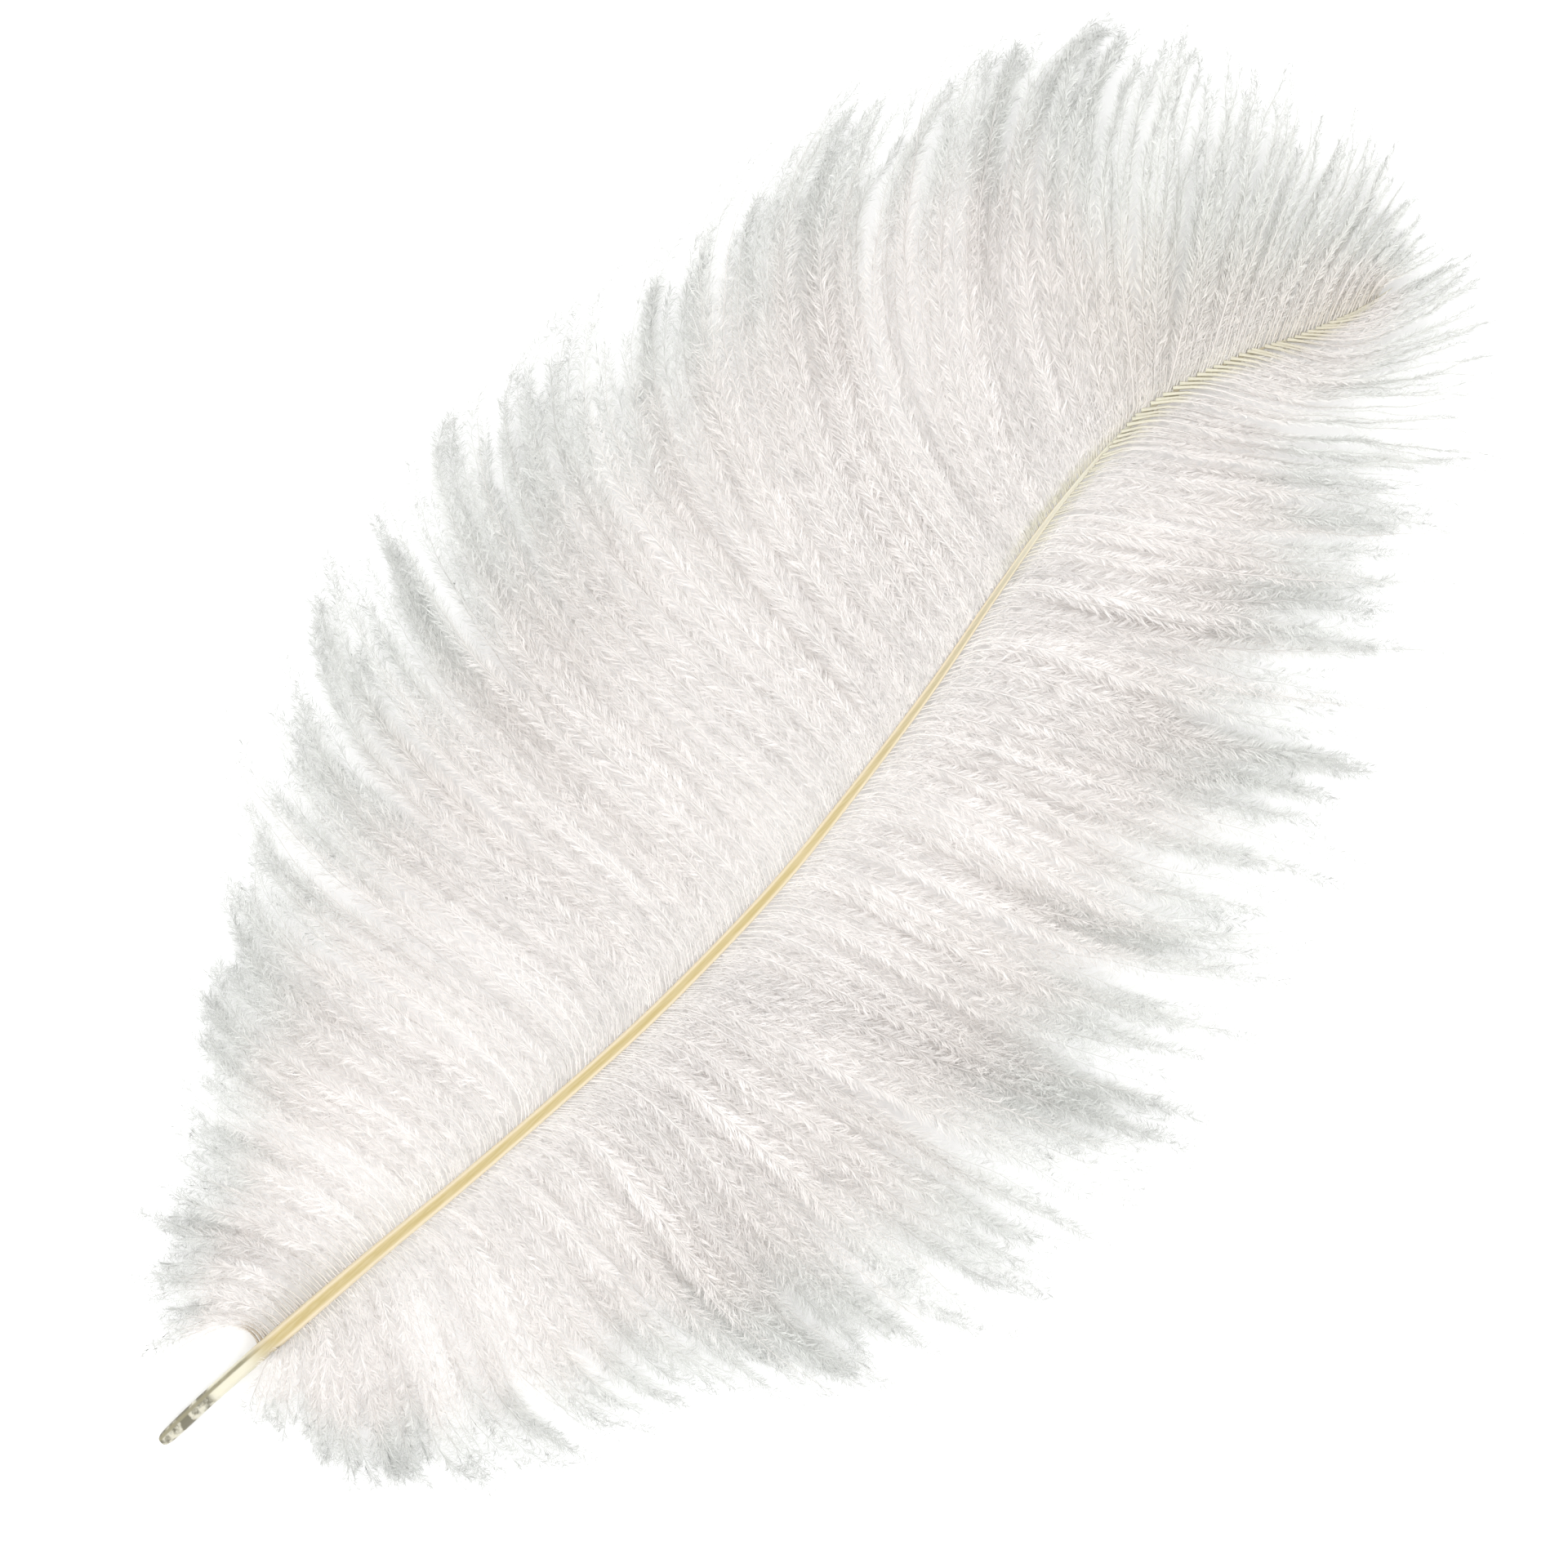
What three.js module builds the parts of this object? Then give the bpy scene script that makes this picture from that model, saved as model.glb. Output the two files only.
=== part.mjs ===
// Ostrich plume lying on a flat surface, its quill towards -Y and its tip towards +Y.
// Millimetres, +Z up. The origin is on the surface, under the middle of the plume's outline.
import * as THREE from 'three';
import { mergeVertices } from 'three/addons/utils/BufferGeometryUtils.js';

// Centre line of the shaft from the quill's end to the tip, [x, y, height]. The quill's end
// touches the surface and the rest arches over the down that holds it up.
const SHAFT_LINE = [
  [7.9, -209.5, 1.9], [7.7, -192, 3.0], [8.1, -174, 4.6], [9.1, -144, 7.0], [10.7, -109, 9.2],
  [11.7, -69, 10.8], [11.3, -44, 11.3], [9.1, -12, 11.6], [5.0, 16, 11.5], [-0.5, 46, 11.0],
  [-7.0, 74, 10.2], [-12.0, 98, 9.4], [-14.7, 122, 8.4], [-13.0, 140, 7.6], [-8.0, 157, 6.7],
  [-2.5, 170, 6.0], [2.0, 184, 5.2], [3.5, 194, 4.6],
];

// Half the shaft's width at distances along it: [distance from the quill's end, radius].
const SHAFT_RADII = [
  [0, 1.2], [1.5, 1.65], [4, 1.85], [24, 2.0], [40, 2.2], [75, 1.9], [115, 1.7], [160, 1.6],
  [217, 1.4], [257, 1.1], [308, 0.7], [340, 0.45], [375, 0.28], [420, 0.12],
];
const SHAFT_SIDES = 14;
const SHAFT_RING_SPACING = 5;
const QUILL_END_RINGS = 4;
const QUILL_END_ROUNDING = 3;

// Barbs that lead the others, from the first at the quill to the last at the tip:
// [distance of the root along the shaft, [x, y] halfway out, [x, y] of the tip].
const LEFT_LEADERS = [
  [32, [-2, -179.5], [-7, -192]], [40, [-7, -171], [-21, -187]], [51, [-13, -161], [-35, -178]],
  [66, [-19, -145], [-50, -164]], [86, [-25, -123], [-66, -137]], [111, [-33, -94], [-83, -106]],
  [136, [-39, -67], [-93, -82]], [154, [-45, -48], [-105, -56]], [174, [-52, -26], [-120, -21]],
  [196, [-54, -4], [-122, 14]], [221, [-55, 21], [-127, 48]], [247, [-57, 47], [-125, 80]],
  [272, [-59, 74], [-121, 112]], [298, [-60, 103], [-119, 142]], [318, [-61, 128], [-111, 166]],
  [334, [-58, 147], [-94, 180]], [349, [-49, 164], [-73, 194]], [363, [-35, 179], [-49, 210]],
  [376, [-20, 189], [-30, 215]], [390, [-8, 194], [-13, 214]], [402, [-0.5, 198], [-2, 210]],
];
const RIGHT_LEADERS = [
  [32, [13, -180], [16, -187]], [39, [20, -174], [31, -188]], [51, [27, -162], [47, -181]],
  [66, [34, -145], [61, -164]], [86, [42, -121], [76, -141]], [108, [50, -95], [92, -114]],
  [128, [57, -70], [106, -86]], [150, [63, -42], [120, -52]], [170, [66, -16], [125, -30]],
  [191, [65, 10], [125, 0]], [213, [61, 34], [124, 34]], [235, [55, 57], [114, 64]],
  [257, [47, 80], [103, 94]], [278, [39, 101], [90, 120]], [298, [31, 121], [74, 143]],
  [318, [23, 140], [57, 163]], [337, [15, 154], [43, 177]], [353, [11, 163], [36, 189]],
  [368, [11, 175], [28, 201]], [382, [11, 186], [19, 208]], [395, [7, 193], [10, 211]],
  [404, [4.5, 198], [4, 210]],
];

const BARB_REACH = 0.92;       // share of a leading barb's length that the down fills out
const LOCKS_PER_VANE = 15;     // tufts that the barbs gather in
const LOCK_NOTCH = 0.07;       // depth of the notch between two tufts, as a share of the length
const RIM_THICKNESS = 0.8;
const ROOT_RISE = 0.8;         // how far the vane's root stands above the shaft's centre line
const DROOP = 2.4;             // how quickly the vane thins out from its root
const SHAFT_GAP = 0.35;
const STEPS_ALONG = 75;
const STEPS_ACROSS = 8;

const UP = new THREE.Vector3(0, 0, 1);
const HORN = new THREE.MeshStandardMaterial({ color: 0xe2d09a, roughness: 0.45, metalness: 0 });
const DOWN = new THREE.MeshStandardMaterial({ color: 0xece8e3, roughness: 0.95, metalness: 0 });

const smooth = (points) => new THREE.CatmullRomCurve3(points, false, 'catmullrom', 0.5);
const shaftCurve = smooth(SHAFT_LINE.map((p) => new THREE.Vector3(...p)));
shaftCurve.arcLengthDivisions = 1000;
const SHAFT_LENGTH = shaftCurve.getLength();

// Radius of the shaft at a distance from the quill's end, straight between the listed sizes.
function shaftRadius(distance) {
  const next = Math.max(1, SHAFT_RADII.findIndex(([d]) => d >= distance));
  const [d0, r0] = SHAFT_RADII[next - 1];
  const [d1, r1] = SHAFT_RADII[next];
  return THREE.MathUtils.mapLinear(distance, d0, d1, r0, r1);
}

// Point on the centre line and the level direction to the plume's right there.
function shaftStation(distance) {
  const share = THREE.MathUtils.clamp(distance / SHAFT_LENGTH, 0, 1);
  const along = shaftCurve.getTangentAt(share);
  const right = new THREE.Vector3().crossVectors(along, UP).normalize();
  return { point: shaftCurve.getPointAt(share), along, right };
}

// A geometry whose corners have moved, with its doubled corners joined and new normals.
function closed(geometry) {
  geometry.deleteAttribute('normal');
  geometry.deleteAttribute('uv');
  const joined = mergeVertices(geometry, 1e-5);
  joined.computeVertexNormals();
  return joined;
}

// The quill and the rachis are one horn shaft: a turned taper, bent along the centre line.
function shaft() {
  const profile = [new THREE.Vector2(0, 0)];
  for (let ring = 0; ring < QUILL_END_RINGS; ring += 1) {
    const angle = (Math.PI / 2) * ((ring + 1) / (QUILL_END_RINGS + 1));
    const distance = QUILL_END_ROUNDING * (1 - Math.cos(angle));
    profile.push(new THREE.Vector2(shaftRadius(distance) * Math.sin(angle), distance));
  }
  for (let d = SHAFT_RING_SPACING; d < SHAFT_LENGTH - 1; d += SHAFT_RING_SPACING) {
    profile.push(new THREE.Vector2(shaftRadius(d), d));
  }
  profile.push(new THREE.Vector2(0, SHAFT_LENGTH));

  const geometry = new THREE.LatheGeometry(profile, SHAFT_SIDES);
  const corner = new THREE.Vector3();
  const position = geometry.attributes.position;
  for (let i = 0; i < position.count; i += 1) {
    corner.fromBufferAttribute(position, i);
    const { point, along, right } = shaftStation(corner.y);
    const over = new THREE.Vector3().crossVectors(right, along);
    point.addScaledVector(right, corner.x).addScaledVector(over, corner.z);
    position.setXYZ(i, point.x, point.y, point.z);
  }
  const mesh = new THREE.Mesh(closed(geometry), HORN);
  mesh.name = 'shaft';
  return mesh;
}

// One vane: a flat-bottomed pillow of down from the shaft's side out to the barbs' tips.
// side is -1 for the left vane and 1 for the right.
function vane(name, side, leaders) {
  const halfway = smooth(leaders.map(([, [x, y]]) => new THREE.Vector3(x, y, 0)));
  const tips = smooth(leaders.map(([, , [x, y]]) => new THREE.Vector3(x, y, 0)));
  const roots = smooth(leaders.map(([distance]) => new THREE.Vector3(distance, 0, 0)));

  const geometry = new THREE.BoxGeometry(1, 1, 1, STEPS_ACROSS, STEPS_ALONG, 1);
  const corner = new THREE.Vector3();
  const position = geometry.attributes.position;
  for (let i = 0; i < position.count; i += 1) {
    corner.fromBufferAttribute(position, i);
    const along = corner.y + 0.5;
    const outward = 0.5 + side * corner.x;
    const notch = LOCK_NOTCH * (1 - Math.abs(Math.sin(Math.PI * LOCKS_PER_VANE * along)));
    const out = outward * (BARB_REACH - notch);

    const distance = roots.getPoint(along).x;
    const { point, right } = shaftStation(distance);
    const rootHeight = point.z + ROOT_RISE;
    point.addScaledVector(right, side * (shaftRadius(distance) + SHAFT_GAP));
    const place = new THREE.Vector3()
      .addScaledVector(point, (1 - out) * (1 - 2 * out))
      .addScaledVector(halfway.getPoint(along), 4 * out * (1 - out))
      .addScaledVector(tips.getPoint(along), out * (2 * out - 1));
    const thickness = RIM_THICKNESS + (rootHeight - RIM_THICKNESS) * (1 - outward) ** DROOP;
    position.setXYZ(i, place.x, place.y, corner.z > 0 ? thickness : 0);
  }
  const mesh = new THREE.Mesh(closed(geometry), DOWN);
  mesh.name = name;
  return mesh;
}

const plume = new THREE.Group();
plume.add(shaft(), vane('left_vane', -1, LEFT_LEADERS), vane('right_vane', 1, RIGHT_LEADERS));

export default plume;
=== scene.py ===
import math

import bmesh
import bpy
import numpy as np
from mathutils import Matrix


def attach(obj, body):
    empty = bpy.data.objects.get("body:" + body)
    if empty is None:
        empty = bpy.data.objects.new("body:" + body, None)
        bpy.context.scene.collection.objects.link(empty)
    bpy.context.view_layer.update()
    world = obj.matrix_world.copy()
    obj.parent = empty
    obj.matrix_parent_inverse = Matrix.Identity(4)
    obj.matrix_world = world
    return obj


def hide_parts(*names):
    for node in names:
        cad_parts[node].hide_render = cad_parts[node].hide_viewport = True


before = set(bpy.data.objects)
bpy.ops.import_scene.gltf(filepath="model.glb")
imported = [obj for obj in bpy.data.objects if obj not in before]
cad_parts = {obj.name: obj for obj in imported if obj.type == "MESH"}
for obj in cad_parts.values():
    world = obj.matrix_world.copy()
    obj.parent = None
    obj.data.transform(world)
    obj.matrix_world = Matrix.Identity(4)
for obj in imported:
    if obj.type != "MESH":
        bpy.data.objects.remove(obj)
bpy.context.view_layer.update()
bpy.ops.object.select_all(action="DESELECT")


# ---- Camera ----
# It looks straight down on the plume from about a metre, through a long lens. It is turned so
# that the quill points to the lower left.
CAMERA_PLACE = (-0.0075, 0.006, 1.04)
CAMERA_TURN = math.radians(47.5)
LENS_LENGTH = 100
SENSOR_WIDTH = 36
bpy.ops.object.camera_add(location=CAMERA_PLACE, rotation=(0, 0, CAMERA_TURN))
camera = bpy.context.object
camera.data.lens = LENS_LENGTH
camera.data.sensor_width = SENSOR_WIDTH
bpy.context.scene.camera = camera


# ---- Surface and light ----
# The plume lies on a level white sheet, under an even white sky and one large soft lamp
# that stands on the side of its right vane.
class Tint:
    """One output of a material's nodes. A sum with it adds the Math node that works it out."""

    def __init__(self, tree, socket=None):
        self.tree = tree
        self.socket = socket

    def node(self, kind, settings, values, out=0):
        made = self.tree.nodes.new(kind)
        for name, setting in settings.items():
            setattr(made, name, setting)
        for name, value in values.items():
            if isinstance(value, Tint):
                self.tree.links.new(value.socket, made.inputs[name])
            else:
                made.inputs[name].default_value = value
        return Tint(self.tree, made.outputs[out] if made.outputs else None)

    def sum(self, operation, a, b):
        return self.node("ShaderNodeMath", {"operation": operation}, {0: a, 1: b})

    def __add__(self, other):
        return self.sum("ADD", self, other)

    def __radd__(self, other):
        return self.sum("ADD", other, self)

    def __sub__(self, other):
        return self.sum("SUBTRACT", self, other)

    def __rsub__(self, other):
        return self.sum("SUBTRACT", other, self)

    def __mul__(self, other):
        return self.sum("MULTIPLY", self, other)

    def __rmul__(self, other):
        return self.sum("MULTIPLY", other, self)

    def between(self, low, high):
        """0 up to low, 1 from high on, and a smooth step between them."""
        values = {"Value": self, "From Min": low, "From Max": high}
        return self.node("ShaderNodeMapRange", {"interpolation_type": "SMOOTHSTEP"}, values)

    def mix(self, start, end):
        """start where this mask is 0 and end where it is 1, both colours."""
        start, end = (c if isinstance(c, Tint) else (*c, 1) for c in (start, end))
        values = {0: self, 6: start, 7: end}
        return self.node("ShaderNodeMix", {"data_type": "RGBA"}, values, out=2)


def new_material(name):
    material = bpy.data.materials.new(name)
    material.use_nodes = True
    material.node_tree.nodes.clear()
    return material, Tint(material.node_tree)


def wear(piece, material):
    piece.data.materials.clear()
    piece.data.materials.append(material)


SHEET_SIZE = 14
PAPER_WHITE = (0.90, 0.90, 0.90)
GRAIN_WHITE = (0.92, 0.92, 0.92)
bpy.ops.mesh.primitive_plane_add(size=SHEET_SIZE)
sheet = bpy.context.object
sheet.name = "white_sheet"
paper, tint = new_material("white_paper")
grain = tint.node("ShaderNodeTexNoise", {}, {"Scale": 900, "Detail": 3})
white = grain.mix(PAPER_WHITE, GRAIN_WHITE)
surface = tint.node("ShaderNodeBsdfPrincipled", {}, {"Base Color": white, "Roughness": 0.9})
tint.node("ShaderNodeOutputMaterial", {}, {"Surface": surface})
wear(sheet, paper)

SKY_STRENGTH = 1.61
sky = bpy.data.worlds.new("even_sky")
sky.use_nodes = True
sky.node_tree.nodes["Background"].inputs["Color"].default_value = (1, 1, 1, 1)
sky.node_tree.nodes["Background"].inputs["Strength"].default_value = SKY_STRENGTH
bpy.context.scene.world = sky
bpy.context.scene.view_settings.view_transform = "Standard"
# White down passes light on many times.
LIGHT_BOUNCES = 20
SOFT_BOUNCES = 10
bpy.context.scene.cycles.max_bounces = LIGHT_BOUNCES
bpy.context.scene.cycles.diffuse_bounces = SOFT_BOUNCES

LAMP_PLACE = (1.5, -0.1, 1.5)
LAMP_TURN = (0, math.radians(45), 0)
LAMP_SIZE = 1.2
LAMP_ENERGY = 5
bpy.ops.object.light_add(type="AREA", radius=LAMP_SIZE, location=LAMP_PLACE, rotation=LAMP_TURN)
lamp = bpy.context.object
lamp.data.shape = "SQUARE"
lamp.data.size = LAMP_SIZE
lamp.data.energy = LAMP_ENERGY


# ---- Shaft ----
# The quill and the rachis are one tapering rod of horn. The quill is round and hollow, and the
# rachis has a shallow furrow along its upper side. The rod bends in a gentle S.
MM = 0.001
SHAFT_LINE = [
    [7.9, -209.5, 1.9], [7.7, -192, 3.0], [8.1, -174, 4.6], [9.1, -144, 7.0], [10.7, -109, 9.2],
    [11.7, -69, 10.8], [11.3, -44, 11.3], [9.1, -12, 11.6], [5.0, 16, 11.5], [-0.5, 46, 11.0],
    [-7.0, 74, 10.2], [-12.0, 98, 9.4], [-14.7, 122, 8.4], [-13.0, 140, 7.6], [-8.0, 157, 6.7],
    [-2.5, 170, 6.0], [2.0, 184, 5.2], [3.5, 194, 4.6],
]
SHAFT_RADII = [
    [0, 1.2], [1.5, 1.65], [4, 1.85], [24, 2.0], [40, 2.2], [75, 1.9], [115, 1.7], [160, 1.6],
    [217, 1.4], [257, 1.1], [308, 0.7], [340, 0.45], [375, 0.28], [420, 0.12],
]
SHAFT_SIDES = 16
QUILL_END_RINGS = [0.0, 0.5, 1.5, 3.0, 6.0]
QUILL_END_FLAT = 0.7                # share of the first ring's radius that the flat end takes
FIRST_RING, RING_SPACING = 10, 4
REGULAR_RINGS_END = 12              # distance before the tip where the even spacing stops
LAST_RINGS = [8, 1]                 # and the last two rings' distances before it
FURROW_START, FURROW_END = 26, 44   # where the furrow begins and is at its full depth
FURROW_STEPS = 4
FURROW_DEPTH = 0.5                  # as a share of the shaft's radius
FURROW_HALF_WIDTHS = (0.15, 0.5)    # its bottom is pressed in first, then bottom and sides


def smooth_line(points, steps=80):
    """A dense row of places on a smooth line through the given ones."""
    p = np.array(points, float)
    p = np.vstack([2 * p[:1] - p[1:2], p, 2 * p[-1:] - p[-2:-1]])
    before, start, end, after = (p[i:len(p) - 3 + i, None] for i in range(4))
    t = np.linspace(0, 1, steps, endpoint=False)[None, :, None]
    row = (
        start * (2 * t**3 - 3 * t**2 + 1)
        + (end - before) / 2 * (t**3 - 2 * t**2 + t)
        + end * (3 * t**2 - 2 * t**3)
        + (after - start) / 2 * (t**3 - t**2)
    )
    return np.vstack([row.reshape(-1, p.shape[1]), p[-2:-1]])


def along_row(row, at, places):
    """The row's values at the given numbers, where at holds the number of each of its places."""
    return np.stack([np.interp(places, at, column) for column in row.T], -1)


shaft_row = smooth_line(SHAFT_LINE)
shaft_at = np.r_[0, np.cumsum(np.linalg.norm(np.diff(shaft_row, axis=0), axis=1))]
SHAFT_LENGTH = shaft_at[-1]


def shaft_radius(distance):
    distances, radii = zip(*SHAFT_RADII)
    return np.interp(distance, distances, radii)


def shaft_place(distance):
    return along_row(shaft_row, shaft_at, distance)


def shaft_heading(distance):
    """Level directions along the shaft and to its right."""
    ahead = shaft_place(np.add(distance, 1)) - shaft_place(np.subtract(distance, 1))
    ahead[..., 2] = 0
    ahead /= np.linalg.norm(ahead, axis=-1, keepdims=True)
    right = np.stack([ahead[..., 1], -ahead[..., 0], 0 * ahead[..., 0]], -1)
    return ahead, right


regular_rings = np.arange(FIRST_RING, SHAFT_LENGTH - REGULAR_RINGS_END, RING_SPACING)
rings = np.r_[QUILL_END_RINGS, regular_rings, SHAFT_LENGTH - np.array(LAST_RINGS)]
places = shaft_place(rings) * MM
ahead, right = shaft_heading(rings)
turns = np.arctan2(ahead[:, 1], ahead[:, 0])
radii = shaft_radius(rings) * MM

size_now = radii[0] * QUILL_END_FLAT
bpy.ops.mesh.primitive_circle_add(
    vertices=SHAFT_SIDES, radius=size_now, fill_type="NGON", location=places[0],
    rotation=(math.pi / 2, 0, turns[0] - math.pi / 2),
)
shaft = bpy.context.object
shaft.name = "shaft_horn"
bpy.ops.object.transform_apply(location=True, rotation=True, scale=True)
bpy.ops.object.mode_set(mode="EDIT")
bpy.ops.mesh.select_all(action="SELECT")
for i in range(1, len(rings)):
    step = places[i] - places[i - 1]
    bpy.ops.mesh.extrude_region_move(TRANSFORM_OT_translate={"value": tuple(step)})
    growth = radii[i] / size_now
    size_now = radii[i]
    bpy.ops.transform.resize(value=(growth,) * 3, center_override=tuple(places[i]))
    bpy.ops.transform.rotate(
        value=-(turns[i] - turns[i - 1]), orient_axis="Z", center_override=tuple(places[i])
    )
    if FURROW_START < rings[i] <= FURROW_END:
        mesh = bmesh.from_edit_mesh(shaft.data)
        end_face = [v for v in mesh.verts if v.select]
        for reach in FURROW_HALF_WIDTHS:
            for v in mesh.verts:
                v.select = False
            for v in end_face:
                off = np.array(v.co) - places[i]
                aside = abs(float(off @ right[i])) / size_now
                v.select = bool(off[2] > 0 and aside < reach)
            mesh.select_flush_mode()
            drop = -FURROW_DEPTH / len(FURROW_HALF_WIDTHS) * size_now / FURROW_STEPS
            bpy.ops.transform.translate(value=(0, 0, drop))
            mesh = bmesh.from_edit_mesh(shaft.data)
        for v in end_face:
            v.select = True
        mesh.select_flush(True)
bpy.ops.mesh.select_all(action="SELECT")
bpy.ops.mesh.normals_make_consistent(inside=False)
bpy.ops.object.mode_set(mode="OBJECT")
rounding = shaft.modifiers.new("rounding", "SUBSURF")
rounding.levels = rounding.render_levels = 1
bpy.ops.object.modifier_apply(modifier="rounding")
bpy.ops.object.shade_smooth()


def vertex_places(piece):
    spots = np.empty(len(piece.data.vertices) * 3, np.float32)
    piece.data.vertices.foreach_get("co", spots)
    return spots.reshape(-1, 3).astype(float)


def give_numbers(piece, name, numbers):
    """Each vertex gets a number that the piece's material reads."""
    layer = piece.data.attributes.new(name, "FLOAT", "POINT")
    layer.data.foreach_set("value", np.asarray(numbers, np.float32).ravel())


def given(tint, name):
    """The numbers that give_numbers stored, as a material reads them."""
    return tint.node("ShaderNodeAttribute", {"attribute_name": name}, {}, out=2)


spots = vertex_places(shaft) / MM
coarse_row, coarse_at = shaft_row[::4, :2], shaft_at[::4]
nearest = np.argmin(np.linalg.norm(spots[:, None, :2] - coarse_row[None], axis=2), axis=1)
distance = coarse_at[nearest]
off = spots - shaft_place(distance)
level_right = shaft_heading(distance)[1]
give_numbers(shaft, "distance", distance)
give_numbers(shaft, "across", (off * level_right).sum(1) / shaft_radius(distance))

# Distances from the quill's end between which one finish turns into the next.
DARK_RING_STARTS, DARK_RING_ENDS = (6, 7.5), (8.5, 10)
CLEAR_SHEATH_STARTS = (16, 18.5)
GOLD_STARTS = (27, 38)
GOLD_PALES = (200, 300)
CREAM_STARTS = (275, 325)
# Between these the rachis is painted dark brown: a painted shadow where it shows between the barb
# feet near the tip.
SHADOW_BAND_STARTS, SHADOW_BAND_ENDS = (334, 348), (372, 388)
# Shares of the shaft's radius, from its middle line towards its left side.
# Painted shade: over these shares the quill's left side is painted darker.
PAINTED_SHADE_SIDE = (0.3, 1.0)
SEAM_STARTS, SEAM_ENDS = (0.15, 0.4), (0.6, 0.85)
RIM_STARTS = (0.05, 0.5)            # squared, because it is the same on both sides
PALE_OLIVE = (0.50, 0.48, 0.39)
DARK_OLIVE = (0.13, 0.12, 0.08)
SEAM_OLIVE = (0.23, 0.21, 0.13)
CLEAR_CREAM = (0.59, 0.565, 0.45)
GOLD = (0.41, 0.325, 0.14)
PALE_GOLD = (0.38, 0.34, 0.24)
RIM_CREAM = (0.61, 0.53, 0.38)
TIP_CREAM = (0.55, 0.525, 0.43)
# Painted shadow colour of the rachis under the barb feet near the tip.
TIP_SHADOW_BROWN = (0.36, 0.32, 0.22)
horn, tint = new_material("horn")
distance = given(tint, "distance")
across = given(tint, "across")
leftward = 0 - across
place = tint.node("ShaderNodeTexCoord", {}, {}, out=3)
blotches = tint.node("ShaderNodeTexNoise", {}, {"Vector": place, "Scale": 520, "Detail": 4})
streaks_place = tint.node("ShaderNodeMapping", {}, {"Vector": place, "Scale": (1, 0.05, 1)})
streaks = tint.node(
    "ShaderNodeTexNoise", {}, {"Vector": streaks_place, "Scale": 2600, "Detail": 3}
)
dark_ring = distance.between(*DARK_RING_STARTS) * (1 - distance.between(*DARK_RING_ENDS))
painted_shade_side = leftward.between(*PAINTED_SHADE_SIDE)
# The quill's own mottling and dark ring, with painted shade that darkens its left side.
dirt_and_shade = (blotches + 0.3 * dark_ring + 0.12 * painted_shade_side).between(0.40, 0.66)
quill_dirt_and_shade = dirt_and_shade.mix(PALE_OLIVE, DARK_OLIVE)
ragged = distance + 5 * (blotches - 0.5)
sheath = ragged.between(*CLEAR_SHEATH_STARTS).mix(quill_dirt_and_shade, CLEAR_CREAM)
seam = leftward.between(*SEAM_STARTS) * (1 - leftward.between(*SEAM_ENDS))
sheath = (seam * (0.65 + 0.6 * blotches)).mix(sheath, SEAM_OLIVE)
centre = distance.between(*GOLD_PALES).mix(GOLD, PALE_GOLD)
gold = (streaks.between(0.35, 0.7) * 0.25).mix(centre, RIM_CREAM)
rims = (across * across).between(*RIM_STARTS)
gold = (rims * 0.95).mix(gold, RIM_CREAM)
colour = distance.between(*GOLD_STARTS).mix(sheath, gold)
colour = distance.between(*CREAM_STARTS).mix(colour, TIP_CREAM)
# Painted shadow: a dark brown band on the rachis under the barb feet near the tip.
colour = distance.between(*SHADOW_BAND_STARTS).mix(colour, TIP_SHADOW_BROWN)
colour = distance.between(*SHADOW_BAND_ENDS).mix(colour, TIP_CREAM)
polish = 0.34 + 0.22 * blotches
fine_bump = tint.node(
    "ShaderNodeBump", {}, {"Height": streaks, "Strength": 0.25, "Distance": 0.0002}
)
shell = tint.node(
    "ShaderNodeBsdfPrincipled", {},
    {"Base Color": colour, "Roughness": polish, "Normal": fine_bump, "Subsurface Weight": 0.15,
     "Subsurface Radius": (1.0, 0.7, 0.4), "Subsurface Scale": 0.001},
)
tint.node("ShaderNodeOutputMaterial", {}, {"Surface": shell})
wear(shaft, horn)
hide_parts("shaft")
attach(shaft, "root")


# ---- Vanes ----
# Hundreds of barbs grow from each side of the rachis and sweep outward. Every barb carries two
# rows of long, limp barbules that have no hooks, so the vane is loose down that gathers in locks.

# Barbs that lead the others, from the quill to the tip: [distance of the root along the shaft,
# [x, y] a third of the way out, [x, y] two thirds of the way out, [x, y] of the tip].
LEFT_LEADERS = [
    [32, [-1, -178], [-5, -187], [-7, -197]], [38, [-3, -173], [-10, -181], [-16, -192]],
    [46, [-6, -165], [-16, -173], [-26, -184]], [58, [-8, -154], [-22, -162], [-37, -170]],
    [72, [-10, -139], [-28, -146], [-47, -150]], [90, [-14, -120], [-38, -128], [-61, -130]],
    [110, [-18, -101], [-49, -110], [-78, -108]],
    [130, [-22, -81], [-58, -89], [-93, -86]], [150, [-26, -60], [-65, -68], [-106, -62]],
    [170, [-29, -40], [-71, -44], [-116, -34]], [190, [-33, -21], [-77, -22], [-122, -6]],
    [210, [-37, -4], [-82, -4], [-123, 18]], [230, [-41, 17], [-86, 18], [-125, 46]],
    [250, [-45, 43], [-90, 56], [-120, 92]], [270, [-47, 64], [-90, 84], [-115, 121]],
    [290, [-49, 82], [-88, 104], [-109, 145]], [305, [-49, 101], [-84, 130], [-102, 165]],
    [320, [-47, 119], [-79, 145], [-94, 178]], [335, [-41, 138], [-68, 161], [-82, 188]],
    [350, [-30, 156], [-47, 178], [-63, 199]], [365, [-21, 170], [-31, 189], [-43, 208]],
    [380, [-12, 181], [-17, 197], [-23, 213]], [395, [-3, 190], [-4, 199], [-5, 209]],
    [404, [2, 193], [4, 200], [5, 208]],
]
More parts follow.
